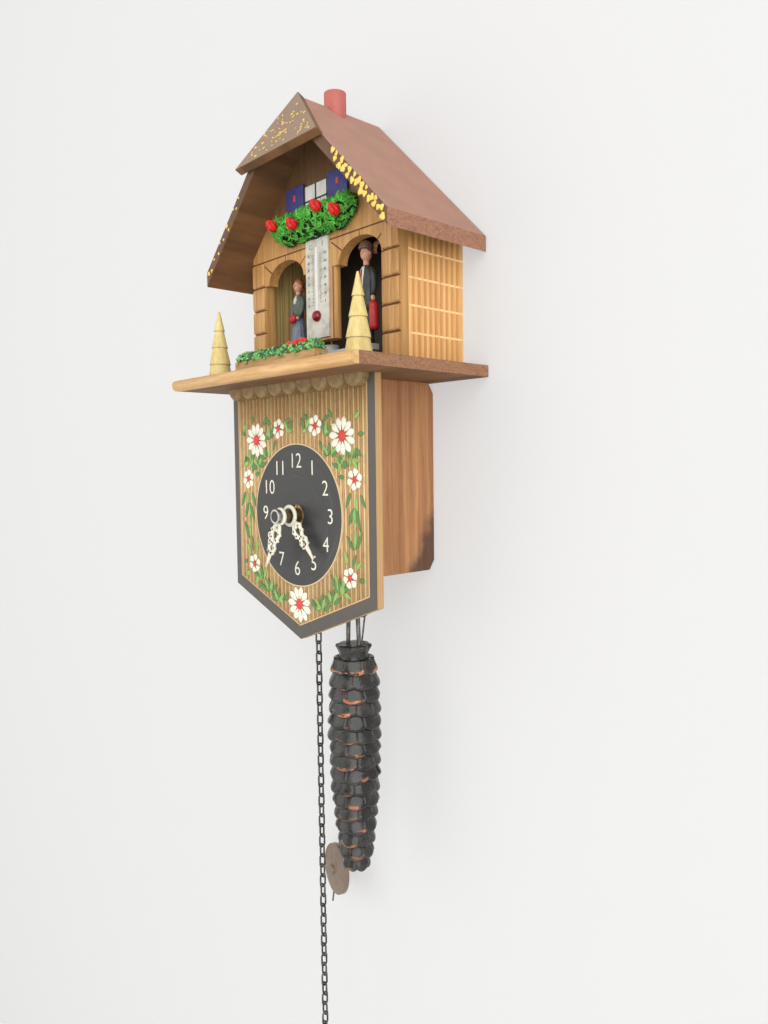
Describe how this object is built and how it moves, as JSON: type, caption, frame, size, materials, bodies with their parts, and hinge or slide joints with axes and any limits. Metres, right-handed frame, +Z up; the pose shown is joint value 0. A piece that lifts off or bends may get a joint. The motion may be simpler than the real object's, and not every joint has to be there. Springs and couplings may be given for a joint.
{
  "type": "weather house wall clock",
  "caption": "Wall clock with a gabled weather house above a dial case: figures swing out on a beam, and a chain with a cone weight drives the hands, train and pendulum.",
  "frame": {"origin": "centre of the hanging hole, on the wall plane", "axes": "+X to the viewer's right, +Y into the wall, +Z up; the front faces -Y"},
  "size_m": [0.132, 0.0764, 0.462],
  "materials": {
    "roof_paint": "matt taupe paint on wood",
    "honey_wood": "clear-lacquered wood",
    "case_wood": "stained wood",
    "dark_board": "dark stain, rough sawn",
    "light_wood": "bare turned wood",
    "panel_board": "reeded plywood with painted border and flowers",
    "bead_wood": "olive-tan stain",
    "dial_black": "matt",
    "hand_cream": "satin",
    "chimney_red": "matt paint",
    "leaf_green": "matt",
    "flower_red": "matt",
    "card_cream": "printed card",
    "tube_glass": "clear",
    "window_white": "printed card",
    "shutter_blue": "matt paint",
    "beam_grey": "matt",
    "man_paint": "matt paint",
    "woman_paint": "matt paint",
    "gut": "twisted gut",
    "movement_brass": "brushed",
    "movement_steel": "brushed",
    "chain_metal": "dulled",
    "weight_iron": "dark patina with coppery worn edges",
    "bob_wood": "matt stain"
  },
  "bodies": {
    "clock": {"case_side_left": "case_wood", "case_side_right": "case_wood", "case_bottom": "case_wood", "case_back": "case_wood", "front_panel": "panel_board", "dial": "dial_black", "platform": "dark_board", "platform_moulding": "light_wood", "bead_row": "bead_wood", "house_facade": "honey_wood", "house_wall_left": "honey_wood", "house_wall_right": "honey_wood", "house_back": "case_wood", "roof_left": "roof_paint", "roof_right": "roof_paint", "roof_hip": "roof_paint", "chimney": "chimney_red", "thermometer_plate": "card_cream", "thermometer_tube": "tube_glass", "attic_window": "window_white", "shutters": "shutter_blue", "garland_foliage": "leaf_green", "garland_flowers": "flower_red", "trees": "light_wood", "planter_box": "light_wood", "planter_foliage": "leaf_green", "planter_flowers": "flower_red", "gut_block": "case_wood", "plate_front": "movement_brass", "plate_back": "movement_brass", "plate_pillars": "movement_brass", "movement_screws": "movement_steel", "movement_battens": "case_wood", "chain_on_sprocket": "chain_metal"},
    "minute_hand": {"cannon_pinion": "movement_brass", "minute_hand": "hand_cream", "hand_nut": "movement_brass"},
    "hour_hand": {"hour_wheel": "movement_brass", "hour_hand": "hand_cream"},
    "minute_wheel": {"minute_wheel": "movement_brass"},
    "second_wheel": {"second_wheel": "movement_brass"},
    "great_wheel": {"centre_arbor": "movement_steel", "great_wheel": "movement_brass", "click_spring": "movement_steel"},
    "escape_wheel": {"escape_wheel": "movement_brass"},
    "sprocket": {"chain_sprocket": "movement_brass"},
    "weight": {"weight_cone": "weight_iron", "weight_loop": "movement_steel", "chain_hook": "chain_metal", "loaded_chain": "chain_metal"},
    "free_chain": {"free_chain": "chain_metal", "chain_ring": "chain_metal"},
    "anchor": {"pallet_anchor": "movement_steel", "pendulum_leader": "movement_steel"},
    "pendulum": {"pendulum_rod": "movement_steel", "pendulum_bob": "bob_wood"},
    "weather_beam": {"weather_beam": "beam_grey", "gut_strand": "gut", "figure_man": "man_paint", "figure_woman": "woman_paint"}
  },
  "joints": [
    {"name": "minute_hand_turn", "type": "hinge", "parent": "clock", "child": "minute_hand", "pos_m": [0, -0.061, -0.1252], "axis": [0, 1, 0], "continuous": true},
    {"name": "hour_hand_turn", "type": "hinge", "parent": "clock", "child": "hour_hand", "pos_m": [0, -0.056, -0.1252], "axis": [0, 1, 0], "continuous": true},
    {"name": "minute_wheel_turn", "type": "hinge", "parent": "clock", "child": "minute_wheel", "pos_m": [0.012, -0.043, -0.1252], "axis": [0, 1, 0], "continuous": true},
    {"name": "second_wheel_turn", "type": "hinge", "parent": "clock", "child": "second_wheel", "pos_m": [0, -0.04, -0.1057], "axis": [0, 1, 0], "continuous": true},
    {"name": "great_wheel_turn", "type": "hinge", "parent": "clock", "child": "great_wheel", "pos_m": [0, -0.026, -0.1252], "axis": [0, 1, 0], "continuous": true},
    {"name": "escape_wheel_turn", "type": "hinge", "parent": "clock", "child": "escape_wheel", "pos_m": [0, -0.04, -0.0913], "axis": [0, 1, 0], "continuous": true},
    {"name": "weight_drop", "type": "slide", "parent": "clock", "child": "weight", "axis": [0, 0, -1], "range_m": [-0.008, 0.025], "deforming": ["loaded_chain", "chain_on_sprocket"]},
    {"name": "sprocket_turn", "type": "hinge", "parent": "clock", "child": "sprocket", "pos_m": [0, -0.0317, -0.1252], "axis": [0, 1, 0], "range_deg": [-37, 113]},
    {"name": "free_chain_rise", "type": "slide", "parent": "clock", "child": "free_chain", "axis": [0, 0, 1], "range_m": [-0.008, 0.025], "deforming": ["free_chain"]},
    {"name": "pendulum_swing", "type": "hinge", "parent": "clock", "child": "anchor", "pos_m": [0, -0.011, -0.0804], "axis": [0, 1, 0], "range_deg": [-6.5, 1.5]},
    {"name": "rod_swing", "type": "hinge", "parent": "anchor", "child": "pendulum", "pos_m": [-0.00421, -0.011, -0.17691], "axis": [0, 1, 0], "range_deg": [-27.9, 12.1]},
    {"name": "weather_turn", "type": "hinge", "parent": "clock", "child": "weather_beam", "pos_m": [0, -0.0313, 0], "axis": [0, 0, -1], "range_deg": [-29.5, 20.5]}
  ],
  "couplings": [
    {"joint": "hour_hand_turn", "follows": "minute_hand_turn", "ratio": 0.083333},
    {"joint": "minute_wheel_turn", "follows": "minute_hand_turn", "ratio": -0.33333},
    {"joint": "great_wheel_turn", "follows": "second_wheel_turn", "ratio": -0.083333},
    {"joint": "escape_wheel_turn", "follows": "second_wheel_turn", "ratio": -11},
    {"joint": "sprocket_turn", "follows": "weight_drop", "rad_per_m": 78.036},
    {"joint": "free_chain_rise", "follows": "weight_drop", "ratio": 1}
  ]
}
